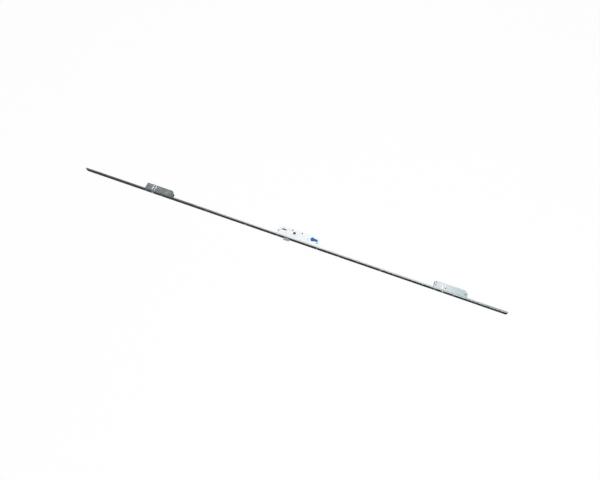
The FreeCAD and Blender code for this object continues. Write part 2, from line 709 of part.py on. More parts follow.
def make_latch():
    bolt = Piece("latch_bolt")
    half = "latch_length / 2"
    nose = bolt.draw().rect(f"latch_x - {half}", "-latch_reach", f"latch_x + {half}", "latch_body")
    bolt.pad(nose, "latch_height", both=True)
    inside = "rail_depth + case_wall + running"
    wide = f"({half} + latch_shoulder)"
    shoulder = bolt.draw().rect(f"latch_x - {wide}", inside, f"latch_x + {wide}", "latch_body")
    bolt.pad(shoulder, "latch_height", both=True)
    beyond = "(latch_reach + latch_height)"
    bevel = bolt.draw("YZ").loop([
        ("-latch_reach", "latch_flat - latch_height / 2"),
        ("-latch_root", "latch_height / 2"),
        ("-latch_root", beyond),
        (f"-{beyond}", beyond),
        (f"-{beyond}", "latch_flat - latch_height / 2"),
    ])
    bolt.cut(bevel)
    tail = Piece("latch_tail")
    left = f"{SHANK_X} - shank_width / 2"
    right = f"{SHANK_X} + shank_width / 2"
    outline = [
        (left, "latch_body"),
        (right, "latch_body"),
        (right, HOOK_Y),
        (HOOK_END, HOOK_Y),
        (HOOK_END, f"{HOOK_Y} + hook_sheet"),
        (left, f"{HOOK_Y} + hook_sheet"),
    ]
    tail.pad(tail.draw().loop(outline), "shank_width", both=True)
    stop = Piece("latch_spring_stop")
    stop_front = "latch_body + latch_spring_length"
    wall = stop.draw("XZ", f"-({stop_front})")
    wall.rect(f"{SHANK_X} - stop_reach", f"-{INNER}", f"{SHANK_X} + stop_reach", INNER)
    stop.pad(wall, "stop_sheet", back=True)
    gap = "(shank_width / 2 + loose)"
    stop.cut(stop.draw("XZ").rect(f"{SHANK_X} - {gap}", f"-{gap}", f"{SHANK_X} + {gap}", gap))
    spring = Piece("latch_spring")
    ring = spring.draw("XZ", "-latch_body").circle((SHANK_X, "0"), "spring_outer")
    ring.circle((SHANK_X, "0"), "spring_outer - 2 * spring_wire")
    spring.pad(ring, "latch_spring_length", back=True)


# Follower for the handle's spindle
def make_follower():
    follower = Piece("follower")
    middle = ("0", "backset")
    follower.pad(follower.draw().circle(middle, "follower_hub"), f"2 * ({INNER} - running)", both=True)
    follower.pad(follower.draw().circle(middle, "follower_collar"), "case_thickness", both=True)
    tip = ("-follower_arm * cos(arm_lean)", "backset - follower_arm * sin(arm_lean)")
    follower.pad(follower.draw().slot(middle, tip, "arm_tip"), "arm_tip", both=True)
    half = "horn_width / 2"
    horn = follower.draw().rect(f"-{half}", "backset", half, "backset + horn_reach")
    follower.pad(horn, "arm_tip", both=True)
    half = "(follower_square / 2)"
    follower.cut(follower.draw().rect(f"-{half}", f"backset - {half}", half, f"backset + {half}"))
    spring = Piece("follower_spring")
    axis = ("follower_spring_y", "0")
    ring = spring.draw("YZ", "horn_width / 2").circle(axis, "small_spring")
    ring.circle(axis, "small_spring - 2 * spring_wire")
    spring.pad(ring, "back_pillar_down - pillar / 2 - horn_width / 2")


# Moulded plug that fills the cylinder's cut-out until the cylinder is fitted
def make_plug():
    plug = Piece("cylinder_plug")
    middle = ("centres", "backset")
    tail = ("centres + cylinder_drop - cylinder_tail / 2", "backset")
    plug.pad(plug.draw().circle(middle, "cylinder_round"), "case_thickness", both=True)
    plug.pad(plug.draw().slot(middle, tail, "cylinder_tail"), "case_thickness", both=True)
    plug.pad(plug.draw("XY", HALF).circle(middle, "cylinder_round + 2 * plug_lip"), "lip_rise")
    plug.pad(plug.draw("XY", HALF).slot(middle, tail, "cylinder_tail + 2 * plug_lip"), "lip_rise")
    bore = "cylinder_round - 2 * plug_wall"
    top = f"{HALF} + lip_rise"
    plug.cut(plug.draw("XY", top).circle(middle, bore), "plug_floor")
    below = plug.draw("XY", f"-{HALF}")
    plug.cut(below.circle(middle, bore), "plug_hollow", onward=True)
    below = plug.draw("XY", f"-{HALF}")
    plug.cut(below.slot(middle, tail, "cylinder_tail - 2 * plug_wall"), "plug_hollow", onward=True)


# Fasteners, as groups of equal pieces
def make_pillars(name, places, x):
    outer, neck, bore, top, inner = (
        value(text) for text in ("pillar / 2", "pillar_neck / 2", "pillar_bore / 2", HALF, INNER)
    )
    section = [(bore, -top), (neck, -top), (neck, -inner), (outer, -inner)]
    section += [(radius, -along) for radius, along in reversed(section)]
    points = [Vector(radius, 0, along) for radius, along in section]
    ring = Part.Face(Part.makePolygon(points + points[:1])).revolve(Vector(0, 0, 0), UP, 360)
    solids = [ring.translated(Vector(value(f"{x} + {at}"), value(y), 0)) for at, y in places]
    group(f"{name}_pillars", solids)


def make_rivets():
    shank, head, sheet_thickness = (value(text) for text in ("rivet / 2", "rivet_head / 2", "rivet_sheet"))
    seats = {"case_rivets": value("rail_depth + case_wall"), "rod_rivets": value(f"{ROD_BACK} + running")}
    places = {"case_rivets": CASE_RIVETS, "rod_rivets": ROD_RIVETS}
    for name, seat in seats.items():
        profile = [(0, 0), (0, shank), (seat, shank), (seat, head), (seat + sheet_thickness, head)]
        profile.append((seat + sheet_thickness, 0))
        group(name, [revolved(profile, Vector(value(x), 0, 0), BACK) for x in places[name]])


def check(made):
    """Stops unless every feature is sound and every cut took something away."""
    for item in doc.Objects:
        if {"Invalid", "Error"} & set(item.State):
            raise RuntimeError(f"{item.Label} failed: {item.State}")
    for piece in made:
        if piece.Shape.isNull() or not piece.Shape.isValid():
            raise RuntimeError(f"{piece.Label} has no sound shape")
        for item in getattr(piece, "Group", []):
            if item.TypeId == "PartDesign::Pocket" and item.Shape.Volume > item.BaseFeature.Shape.Volume - 0.01:
                raise RuntimeError(f"{piece.Label}: {item.Label} cuts nothing")


make_rail()
make_rod("upper", "upper_bolt_x - rod_reach_up", "-upper_rod_start", "-slide_up")
make_rod("lower", "lower_rod_start", "lower_bolt_x + rod_reach_down", "slide_down - lug_length")
make_main_case()
make_main_slide()
make_gear()
make_deadbolt()
make_latch()
make_follower()
make_plug()
make_pillars("main_case", MAIN_PILLARS, "0")
for end in SIDES:
    make_outer_case(end)
    make_cam_plate(end)
    make_pin_bolt(end)
    make_pillars(f"{end}_case", OUTER_PILLARS, f"{end}_bolt_x")
make_rivets()
doc.recompute()
check(pieces)

os.makedirs("parts", exist_ok=True)
for piece in pieces:
    piece.Shape.exportStep(f"parts/{piece.Label}.step")
    print(f"{piece.Label}: {len(piece.Shape.Solids)} solid(s), {piece.Shape.Volume:.0f} mm3")
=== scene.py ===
# %% [markdown]
# A multipoint door lock, lying on its side
# The lock is one long U-shaped steel rail with three flat cases behind it. Its solids come packed from the
# CAD model as a fixed frame, which nothing here moves or changes. Everything goes round that frame:
# finishes for the plates and castings, the fine pieces that are too small for the solids, the light and the
# camera.

import json
import math

import bpy
import numpy as np
from mathutils import Matrix, Vector


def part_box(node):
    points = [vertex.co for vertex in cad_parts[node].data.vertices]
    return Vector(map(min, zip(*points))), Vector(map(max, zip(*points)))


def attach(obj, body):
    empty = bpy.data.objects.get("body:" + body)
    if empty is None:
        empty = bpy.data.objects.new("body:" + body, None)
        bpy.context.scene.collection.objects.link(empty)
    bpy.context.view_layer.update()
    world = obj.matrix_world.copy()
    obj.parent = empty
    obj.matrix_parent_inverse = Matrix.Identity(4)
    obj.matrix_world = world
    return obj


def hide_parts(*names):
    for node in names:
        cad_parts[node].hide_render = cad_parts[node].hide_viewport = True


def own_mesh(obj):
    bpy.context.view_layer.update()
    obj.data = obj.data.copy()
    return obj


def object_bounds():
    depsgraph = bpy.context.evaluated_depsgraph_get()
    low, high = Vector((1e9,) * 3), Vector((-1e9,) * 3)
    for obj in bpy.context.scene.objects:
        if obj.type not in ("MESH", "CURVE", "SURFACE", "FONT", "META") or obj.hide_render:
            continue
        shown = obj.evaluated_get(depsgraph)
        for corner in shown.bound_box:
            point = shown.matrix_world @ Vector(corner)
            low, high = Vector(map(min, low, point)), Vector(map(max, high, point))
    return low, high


MM = 0.001

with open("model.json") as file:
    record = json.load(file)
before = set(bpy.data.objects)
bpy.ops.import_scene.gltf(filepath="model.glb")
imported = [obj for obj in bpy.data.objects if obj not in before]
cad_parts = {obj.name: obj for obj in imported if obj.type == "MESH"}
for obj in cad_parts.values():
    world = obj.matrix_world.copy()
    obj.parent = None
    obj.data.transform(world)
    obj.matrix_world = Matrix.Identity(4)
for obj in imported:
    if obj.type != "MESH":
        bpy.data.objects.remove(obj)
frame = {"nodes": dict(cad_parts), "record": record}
cad_low, cad_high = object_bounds()
nodes = frame["nodes"]
slot_of = {part["node"]: part["material_slot"] for part in frame["record"]["subparts"]}
print("nodes", len(nodes), "box in mm", [round(side / MM) for side in cad_high - cad_low])

# %% [markdown]
# Units and the face of the side plates
# The frame is in metres, with X along the rail, Y back into the door and Z square to the side plates. Small
# sizes are written in millimetres times MM, as a drawing gives them. A piece that a later cell adds takes
# its place from the box of its solid, so it follows when the solid changes.
# The upper side plate carries a pressed lip, which raises its box. Its face is taken from the tray instead,
# whose own side plate lies as far below the middle as the upper one lies above it.

# %% Face of the side plates
side_plate_z = -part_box("main_case_base")[0].z
print("side plates at z", round(side_plate_z / MM, 2), "mm")

# %% [markdown]
# Shader helpers
# A material is a small graph of nodes. These helpers place a node, set its sockets and join it to others,
# so that the cells below read as what a finish is made of and not as wiring.


# %% Nodes and their sockets
def find_socket(node, name):
    """The input with that name, where _ stands for a space, or input number 3 for the name i3."""
    if name[0] == "i" and name[1:].isdigit():
        return node.inputs[int(name[1:])]
    return node.inputs[name.replace("_", " ")]


def add_node(tree, kind, settings=None, **inputs):
    """A node of that kind in the tree, with its own settings and a value or a link for each named input."""
    node = tree.nodes.new(kind)
    for name, value in (settings or {}).items():
        setattr(node, name, value)
    for name, value in inputs.items():
        socket = find_socket(node, name)
        if isinstance(value, bpy.types.NodeSocket):
            tree.links.new(value, socket)
        else:
            socket.default_value = value
    return node


def new_group(name, inputs, outputs):
    """A shader group with float inputs {name: default} and outputs {name: kind}: its tree, what it is given
    and where its results go."""
    tree = bpy.data.node_groups.new(name, "ShaderNodeTree")
    for label, default in inputs.items():
        socket = tree.interface.new_socket(name=label, in_out="INPUT", socket_type="NodeSocketFloat")
        socket.default_value = default
    for label, kind in outputs.items():
        tree.interface.new_socket(name=label, in_out="OUTPUT", socket_type="NodeSocket" + kind)
    source = tree.nodes.new("NodeGroupInput")
    sink = tree.nodes.new("NodeGroupOutput")
    return tree, source.outputs, sink.inputs


print("node helpers ready")


# %% Values and colours
def math_node(tree, operation, first, second=0.0):
    """One arithmetic step: first (operation) second."""
    return add_node(tree, "ShaderNodeMath", {"operation": operation}, i0=first, i1=second).outputs[0]


def product(tree, *factors):
    """All factors multiplied. It joins masks too, because the product is 1 only where all of them are."""
    result = factors[0]
    for factor in factors[1:]:
        result = math_node(tree, "MULTIPLY", result, factor)
    return result


def remap(tree, value, low, high, to_low, to_high):
    """value, taken from low..high to to_low..to_high in a straight line and held at both ends."""
    return add_node(tree, "ShaderNodeMapRange", i0=value, i1=low, i2=high, i3=to_low, i4=to_high).outputs[0]


def mix_colour(tree, share, first, second, blend="MIX"):
    """first where share is 0 and second where it is 1, or first times second for the blend MULTIPLY."""
    # The node has sockets for every kind of data. Inputs 6 and 7 and output 2 are those for colours.
    settings = {"data_type": "RGBA", "blend_type": blend}
    return add_node(tree, "ShaderNodeMix", settings, i0=share, i6=first, i7=second).outputs[2]


def shaded(tree, colour, tone):
    """colour times tone, where tone is one number for red, green and blue."""
    grey = add_node(tree, "ShaderNodeCombineXYZ", X=tone, Y=tone, Z=tone).outputs[0]
    return mix_colour(tree, 1.0, colour, grey, "MULTIPLY")


print("value helpers ready")


# %% Places, directions and noise
def object_place(tree, stretch=None):
    """The point on the piece in metres, times the three numbers of stretch for X, Y and Z if it is given."""
    place = add_node(tree, "ShaderNodeTexCoord").outputs["Object"]
    if stretch is None:
        return place
    return add_node(tree, "ShaderNodeMapping", Vector=place, Scale=stretch).outputs[0]


def face_normal(tree):
    """The direction in which the face looks, of length 1."""
    return add_node(tree, "ShaderNodeNewGeometry").outputs["Normal"]


def split(tree, vector):
    """The X, Y and Z of a vector, as outputs with these names."""
    return add_node(tree, "ShaderNodeSeparateXYZ", Vector=vector).outputs


def noise(tree, place, scale, detail=3.0, roughness=0.55):
    """Soft grey noise from 0 to 1, about scale cells to the metre."""
    inputs = {"Vector": place, "Scale": scale, "Detail": detail, "Roughness": roughness}
    return add_node(tree, "ShaderNodeTexNoise", **inputs).outputs["Fac"]


def centred(tree, value):
    """value less a half, so that noise swings about 0."""
    return math_node(tree, "SUBTRACT", value, 0.5)


print("place and noise helpers ready")

# %% [markdown]
# Zinc plating
# Electroplated zinc is bright, but never an even mirror: the bath leaves soft clouds some 10 to 30 mm wide,
# and handling leaves finer patches. A photograph of plating could be wrapped round each piece, but noise
# that is worked out at each point has no seams and fits every shape. Broad noise and a little fine noise
# move the tone and the roughness. They are a group, because every plated piece of the lock needs them with
# its own strength.

# %% Group: plating clouds
FINE_RATIO = 9.0
FINE_SHARE = 0.4
# Noise seldom leaves its middle by more than a quarter, and this gain makes that quarter 1.
CLOUD_GAIN = 4.0


def make_plating_group():
    """Clouds are broad noise plus FINE_SHARE of a noise FINE_RATIO times as fine, both centred on 0. Tone
    is 1 plus clouds times Tone Depth times CLOUD_GAIN, and Roughness is Rough Base plus clouds times Rough
    Depth times CLOUD_GAIN."""
    tree, given, out = new_group(
        "plating_clouds",
        {"Cloud Scale": 45.0, "Tone Depth": 0.06, "Rough Base": 0.3, "Rough Depth": 0.08},
        {"Tone": "Float", "Roughness": "Float"},
    )
    place = object_place(tree)
    broad = centred(tree, noise(tree, place, given["Cloud Scale"], detail=2.0))
    fine_scale = product(tree, given["Cloud Scale"], FINE_RATIO)
    fine = centred(tree, noise(tree, place, fine_scale, detail=4.0))
    clouds = math_node(tree, "ADD", broad, product(tree, fine, FINE_SHARE))
    tone_swing = product(tree, clouds, given["Tone Depth"], CLOUD_GAIN)
    rough_swing = product(tree, clouds, given["Rough Depth"], CLOUD_GAIN)
    tree.links.new(math_node(tree, "ADD", 1.0, tone_swing), out["Tone"])
    tree.links.new(math_node(tree, "ADD", given["Rough Base"], rough_swing), out["Roughness"])
    return tree


plating_group = make_plating_group()
print("group", plating_group.name)

# %% [markdown]
# Rolled and drawn grain
# Strip steel carries fine lines in the direction in which it was rolled. On the rail, the rods and the
# plates that is along X. The shader's Anisotropic value would draw the shine out across them, but it leaves
# no lines to see from near. Noise that is stretched some 60 times along X gives such lines, as a height for
# a bump and as a slight shade. Broader noise makes them stronger in some patches than in others.

# %% Group: rolling grain
GRAIN_STRETCH = (0.016, 1.0, 1.0)
FAINT_GRAIN = 0.35
GRAIN_SHADE = 0.5
GRAIN_PATCHES = (0.3, 0.7)


def make_grain_group():
    """Height is stretched noise, centred on 0, times a strength that goes from FAINT_GRAIN to 1 as the
    patches go through GRAIN_PATCHES. Shade is 1 plus GRAIN_SHADE times Height."""
    tree, given, out = new_group(
        "rolling_grain",
        {"Lines": 2600.0, "Patch": 70.0},
        {"Height": "Float", "Shade": "Float"},
    )
    lines = noise(tree, object_place(tree, GRAIN_STRETCH), given["Lines"], roughness=0.7)
    patch = noise(tree, object_place(tree), given["Patch"], detail=1.0)
    strength = remap(tree, patch, *GRAIN_PATCHES, FAINT_GRAIN, 1.0)
    height = product(tree, centred(tree, lines), strength)
    tree.links.new(height, out["Height"])
    tree.links.new(math_node(tree, "ADD", 1.0, product(tree, height, GRAIN_SHADE)), out["Shade"])
    return tree


grain_group = make_grain_group()
print("group", grain_group.name)

# %% [markdown]
# Edges
# No pressed or cast edge is truly sharp. A Bevel modifier would cut real ones, but it would change the
# solids' meshes, which stay as they were packed. The Bevel node rounds only the shading, over the last few
# tenths of a millimetre. Where its normal leaves the face's own normal there is an edge, which handling
# rubs brighter.

# %% Group: worn edges
FAINT_WEAR = 0.25
WEAR_PATCHES = (0.3, 0.65)


def make_edge_group():
    """Turned is 1 less the dot product of the rounded normal and the face's own. Mask is Turned, taken from
    Low..High to 0..1, times a strength that goes from FAINT_WEAR to 1 as the patches go through
    WEAR_PATCHES. Normal is the rounded one."""
    tree, given, out = new_group(
        "worn_edges",
        {"Radius": 0.4 * MM, "Low": 0.02, "High": 0.25, "Patch": 160.0},
        {"Mask": "Float", "Normal": "Vector"},
    )
    rounded = add_node(tree, "ShaderNodeBevel", {"samples": 4}, Radius=given["Radius"]).outputs[0]
    dot = {"operation": "DOT_PRODUCT"}
    along = add_node(tree, "ShaderNodeVectorMath", dot, i0=rounded, i1=face_normal(tree)).outputs["Value"]
    turned = math_node(tree, "SUBTRACT", 1.0, along)
    edge = remap(tree, turned, given["Low"], given["High"], 0.0, 1.0)
    patch = noise(tree, object_place(tree), given["Patch"])
    strength = remap(tree, patch, *WEAR_PATCHES, FAINT_WEAR, 1.0)
    tree.links.new(product(tree, edge, strength), out["Mask"])
    tree.links.new(rounded, out["Normal"])
    return tree


edge_group = make_edge_group()
print("group", edge_group.name)

# %% [markdown]
# Where painted shade goes
# Some pieces have a second, darker tone, and it is painted shade. The outer face of the rail and of the
# deadbolt is painted darker than the rest, for the dark surroundings that it mirrors. The inside of a case
# and its end walls are painted darker than its side plates, for the shade inside the case and the dark
# surroundings that the walls mirror. The floor of the tray takes half of that, and the faces that look into
# the door only a little. The spindle's square bore is painted dark, for the shade inside it.
# A second material would need its faces picked out in the mesh. A mask that asks each point where it lies
# and which way its face looks needs no picking, and it can fade.

# %% Group: front painted shade
# A face whose normal has more Y than this looks into the rail's channel.
LOOKS_IN = 0.5


def make_front_shade_group():
    """Mask is 1 where Y is under Depth, Z within Half Height of 0, and the normal's Y under LOOKS_IN."""
    tree, given, out = new_group(
        "front_painted_shade", {"Depth": 2.6 * MM, "Half Height": 11.6 * MM}, {"Mask": "Float"}
    )
    place = split(tree, object_place(tree))
    near = math_node(tree, "LESS_THAN", place["Y"], given["Depth"])
    within = math_node(tree, "LESS_THAN", math_node(tree, "ABSOLUTE", place["Z"]), given["Half Height"])
    outward = math_node(tree, "LESS_THAN", split(tree, face_normal(tree))["Y"], LOOKS_IN)
    tree.links.new(product(tree, near, within, outward), out["Mask"])
    return tree


front_shade_group = make_front_shade_group()
print("group", front_shade_group.name)

# %% Group: painted shade inside a case
FLOOR_SHARE = 0.5
BACK_SHARE = 0.2
# A face turns to an axis as that part of its normal goes from the first of these to the second.
TURNING = (0.3, 0.8)


def make_inside_shade_group():
    """Plate is 1 on faces that look along Z and lie further than Height from the middle. Mask is 1 less
    Plate, times a share that goes from 1 to FLOOR_SHARE as the face turns to Z, times one from 1 to
    BACK_SHARE as it turns to +Y."""
    tree, given, out = new_group("case_inside_shade", {"Height": 7.7 * MM}, {"Mask": "Float"})
    height = math_node(tree, "ABSOLUTE", split(tree, object_place(tree))["Z"])
    facing = split(tree, face_normal(tree))
    level = math_node(tree, "ABSOLUTE", facing["Z"])
    outer = math_node(tree, "GREATER_THAN", height, given["Height"])
    plate = product(tree, outer, remap(tree, level, *TURNING, 0.0, 1.0))
    floor_share = remap(tree, level, *TURNING, 1.0, FLOOR_SHARE)
    back_share = remap(tree, facing["Y"], *TURNING, 1.0, BACK_SHARE)
    shares = product(tree, floor_share, back_share)
    tree.links.new(product(tree, math_node(tree, "SUBTRACT", 1.0, plate), shares), out["Mask"])
    return tree


inside_shade_group = make_inside_shade_group()
print("group", inside_shade_group.name)


# %% Group: painted shade in the spindle bore
def make_bore_shade_group():
    """Mask is 1 in a block round the follower's axis: X and Y within Half Width, and Z within Mouth of 0."""
    tree, given, out = new_group(
        "spindle_bore_shade", {"Centre Y": 35 * MM, "Half Width": 4.2 * MM, "Mouth": 7.6 * MM}, {"Mask": "Float"}
    )
    place = split(tree, object_place(tree))
    from_axis = math_node(tree, "SUBTRACT", place["Y"], given["Centre Y"])
    wide = math_node(tree, "LESS_THAN", math_node(tree, "ABSOLUTE", place["X"]), given["Half Width"])
    deep = math_node(tree, "LESS_THAN", math_node(tree, "ABSOLUTE", from_axis), given["Half Width"])
    below = math_node(tree, "LESS_THAN", math_node(tree, "ABSOLUTE", place["Z"]), given["Mouth"])
    tree.links.new(product(tree, wide, deep, below), out["Mask"])
    return tree


bore_shade_group = make_bore_shade_group()
print("group", bore_shade_group.name)

# %% [markdown]
# One function makes every metal of the lock, because they differ in colour, roughness, clouds and grain and
# not in kind. The rail, the cases and the follower are the exceptions with a second tone of painted shade,
# which a mask keeps apart. These three also mirror less at a flat angle than clean metal does, which is
# painted shade too, for the dark surroundings that they mirror there.

# %% Material helpers
EDGE_TINT = (0.86, 0.88, 0.9, 1.0)
ROUGH_SWING = 0.25
GRAIN_DEPTH = 0.02 * MM


def new_material(name):
    """A new material with its Principled shader, and the tree that holds both."""
    material = bpy.data.materials.new(name)
    material.use_nodes = True
    tree = material.node_tree
    return material, tree, tree.nodes["Principled BSDF"]


def place_group(tree, group, **inputs):
    """The outputs of the group, placed in the tree with those inputs."""
    return add_node(tree, "ShaderNodeGroup", {"node_tree": group}, **inputs).outputs


def make_metal(
    name, colour, rough, cloud=0.06, cloud_scale=45.0, grain=0.0, edge=0.25,
    second=None, where=None, grazing_shade=1.0,
):
    """Base Color is colour, or the painted shade second where the mask of the group where is 1, times clouds
    and grain, and mixed to EDGE_TINT on worn edges by the share edge. At a flat angle it is multiplied by
    grazing_shade, a painted shade that dims the reflection, where clean metal has 1."""
    material, tree, shader = new_material(name)
    shader.inputs["Metallic"].default_value = 1.0
    shader.inputs["Specular Tint"].default_value = (grazing_shade, grazing_shade, grazing_shade, 1.0)
    swings = {"Tone_Depth": cloud, "Rough_Base": rough, "Rough_Depth": rough * ROUGH_SWING}
    clouds = place_group(tree, plating_group, Cloud_Scale=cloud_scale, **swings)
    edges = place_group(tree, edge_group)
    base = (*colour, 1.0)
    if where is not None:
        base = mix_colour(tree, place_group(tree, where)["Mask"], base, (*second, 1.0))
    tone = clouds["Tone"]
    normal = edges["Normal"]
    if grain > 0:
        lines = place_group(tree, grain_group)
        tone = product(tree, tone, lines["Shade"])
        relief = {"Strength": grain, "Distance": GRAIN_DEPTH, "Height": lines["Height"], "Normal": normal}
        normal = add_node(tree, "ShaderNodeBump", **relief).outputs[0]
    worn = product(tree, edges["Mask"], edge)
    tinted = mix_colour(tree, worn, shaded(tree, base, tone), EDGE_TINT)
    tree.links.new(tinted, shader.inputs["Base Color"])
    tree.links.new(clouds["Roughness"], shader.inputs["Roughness"])
    tree.links.new(normal, shader.inputs["Normal"])
    return material


print("make_metal ready")

# %% Metals of the slots
# These three are painted shade: each gives a darker second colour where its mask is 1, and a weaker
# reflection at a flat angle.
FRONT_PAINTED_SHADE = {"second": (0.036, 0.042, 0.045), "where": front_shade_group, "grazing_shade": 0.5}
CASE_INSIDE_SHADE = {"second": (0.05, 0.053, 0.055), "where": inside_shade_group, "grazing_shade": 0.5}
SPINDLE_BORE_SHADE = {"second": (0.02, 0.02, 0.021), "where": bore_shade_group, "grazing_shade": 0.4}

finishes = {}


def add_metals(looks):
    """Makes a metal for each {name: what make_metal takes after the name}, and files it under its name."""
    for name, look in looks.items():
        finishes[name] = make_metal(name, **look)
    print("metals", list(looks))


add_metals({
    "rail_steel": {"colour": (0.43, 0.46, 0.47), "rough": 0.30, "grain": 0.35, **FRONT_PAINTED_SHADE},
    "case_steel": {"colour": (0.61, 0.655, 0.67), "rough": 0.28, "cloud": 0.04, "grain": 0.2, **CASE_INSIDE_SHADE},
    "rod_steel": {"colour": (0.30, 0.31, 0.32), "rough": 0.38, "grain": 0.4},
    "slide_steel": {"colour": (0.22, 0.225, 0.23), "rough": 0.40, "grain": 0.3},
    "gear_steel": {"colour": (0.26, 0.26, 0.25), "rough": 0.42, "cloud": 0.1},
    "bolt_steel": {"colour": (0.75, 0.76, 0.77), "rough": 0.22, "cloud": 0.03},
    "rivet_steel": {"colour": (0.52, 0.54, 0.55), "rough": 0.38, "cloud": 0.08, "cloud_scale": 200.0},
    "spring_steel": {"colour": (0.36, 0.36, 0.37), "rough": 0.30, "cloud": 0.03},
    "latch_zinc": {"colour": (0.37, 0.38, 0.39), "rough": 0.30, "cloud": 0.05},
    "carriage_zinc": {"colour": (0.80, 0.81, 0.82), "rough": 0.06, "cloud": 0.03},
    "follower_zinc": {
        "colour": (0.19, 0.193, 0.196), "rough": 0.40, "cloud": 0.10, "cloud_scale": 260.0, **SPINDLE_BORE_SHADE
    },
})

# %% [markdown]
# Finishes of single pieces
# A few pieces share a slot with others and still look different. The deadbolt's end takes the same painted
# shade as the rail's front round it. The hollow pillars are painted near black in the main case, for the
# shade in their bores, and are dull in the outer ones, and the cam plates are burnished, as are the pins that
# slide on them. Each of these finishes is a metal like the others, and a list says which pieces take it.

# %% Metals of single pieces
add_metals({
    "deadbolt_steel": {"colour": (0.60, 0.61, 0.62), "rough": 0.26, "cloud": 0.03, **FRONT_PAINTED_SHADE},
    "cam_steel": {"colour": (0.76, 0.77, 0.78), "rough": 0.09, "cloud": 0.03},
    "outer_pillar_steel": {
        "colour": (0.27, 0.275, 0.28), "rough": 0.42, "cloud": 0.08, "cloud_scale": 200.0
    },
    # Painted shade: the main case's pillars are near black, for the shade inside their bores.
    "pillar_steel": {
        "colour": (0.025, 0.026, 0.027), "rough": 0.45, "cloud": 0.08, "cloud_scale": 200.0,
        "edge": 0.03, "grazing_shade": 0.4,
    },
})
own_finish = {"deadbolt": "deadbolt_steel", "main_case_pillars": "pillar_steel"}
for end in ("upper", "lower"):
    own_finish[end + "_case_pillars"] = "outer_pillar_steel"
    own_finish[end + "_cam_plate"] = "cam_steel"
    own_finish[end + "_guide_pins"] = "cam_steel"
print("single pieces", list(own_finish))

# %% [markdown]
# Blue plug
# The transport plug is injection-moulded plastic: an even blue with a fine spark-eroded texture and a soft
# shine. The texture could be cut into the mesh, but its grain is under half a millimetre, so a bump is
# enough. The plating clouds serve here too, weak and fine, as the unevenness that any moulding has.

# %% Plug plastic
PLASTIC_CLOUDS = {"Cloud_Scale": 120.0, "Tone_Depth": 0.05, "Rough_Depth": 0.06}
GRIT_SCALE = 2200.0
GRIT_DEPTH = 0.03 * MM
GRIT_STRENGTH = 0.25


def make_plastic(name, colour, rough):
    """Base Color is colour times weak clouds, Roughness comes from the clouds, and the bump is noise with
    GRIT_SCALE cells to the metre, on the rounded normal."""
    material, tree, shader = new_material(name)
    shader.inputs["IOR"].default_value = 1.47
    shader.inputs["Specular IOR Level"].default_value = 0.35
    clouds = place_group(tree, plating_group, Rough_Base=rough, **PLASTIC_CLOUDS)
    rounded = place_group(tree, edge_group)["Normal"]
    grit = noise(tree, object_place(tree), GRIT_SCALE, detail=2.0)
    relief = {"Strength": GRIT_STRENGTH, "Distance": GRIT_DEPTH, "Height": grit, "Normal": rounded}
    tree.links.new(shaded(tree, (*colour, 1.0), clouds["Tone"]), shader.inputs["Base Color"])
    tree.links.new(clouds["Roughness"], shader.inputs["Roughness"])
    tree.links.new(add_node(tree, "ShaderNodeBump", **relief).outputs[0], shader.inputs["Normal"])
    return material


finishes["plug_plastic"] = make_plastic("plug_plastic", (0.001, 0.165, 0.47), 0.45)
print("finishes", len(finishes))

# %% [markdown]
# Dressing the solids
# Each solid of the frame has a slot in the record, which names its material. The finish of that name goes
# on it, unless the piece has one of its own. Only the material slots are set: the meshes stay as they are.

# %% Finish every solid
for name, piece in nodes.items():
    finish = finishes[own_finish.get(name, slot_of[name])]
    if not piece.data.materials:
        piece.data.materials.append(finish)
    for place in piece.material_slots:
        place.material = finish
print("dressed", len(nodes), "nodes")

# %% [markdown]
# Pieces from grids
# The coils and the flange could be modelled by hand, but then they wouldn't follow the sizes of the frame.
# Each new piece is a grid of points instead, worked out with numpy as one array. One direction of the grid
# closes into a ring, so the faces follow from the counts alone, and one helper makes them for every shape.


# %% Mesh helpers
def grid_faces(rows, columns, ring=False):
    """Quads between neighbours in a grid of rows by columns points, whose columns close into a ring, and
    its rows too where ring is set."""
    first_rows = np.arange(rows if ring else rows - 1)
    row, column = np.meshgrid(first_rows, np.arange(columns), indexing="ij")
    after, beside = (row + 1) % rows, (column + 1) % columns
    this_row, next_row = row * columns, after * columns
    corners = [this_row + column, this_row + beside, next_row + beside, next_row + column]
    return np.stack(corners, axis=-1).reshape(-1, 4)


def mesh_object(name, vertices, faces, material, caps=()):
    """An object at the origin from vertices (n, 3) in metres, quads (m, 4) and caps, the larger faces."""
    mesh = bpy.data.meshes.new(name)
    mesh.from_pydata(vertices.tolist(), [], faces.tolist() + [list(cap) for cap in caps])
    mesh.shade_smooth()
    mesh.materials.append(material)
    made = bpy.data.objects.new(name, mesh)
    bpy.context.scene.collection.objects.link(made)
    return made


def new_piece(name, vertices, faces, slot, body, caps=()):
    """A piece of the lock with the finish of its slot, riding on a body."""
    piece = mesh_object(name, vertices, faces, finishes[slot], caps)
    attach(piece, body)
    return piece


print("mesh helpers ready")

# %% [markdown]
# Coil springs
# The frame holds the two springs as plain sleeves. A real spring is a wire along a helix, with closed end
# coils. A curve with a round bevel could draw it. Here the helix is worked out for all its points at once
# and a circle is carried along it, because the closed ends and the exact length then come from one formula.
# Both springs lean on the case with their far ends. The latch and the follower's horn press the near ends
# towards them.

# %% Wire along a helix
STEPS_PER_TURN = 28
WIRE_SIDES = 8
END_TURN = 0.75


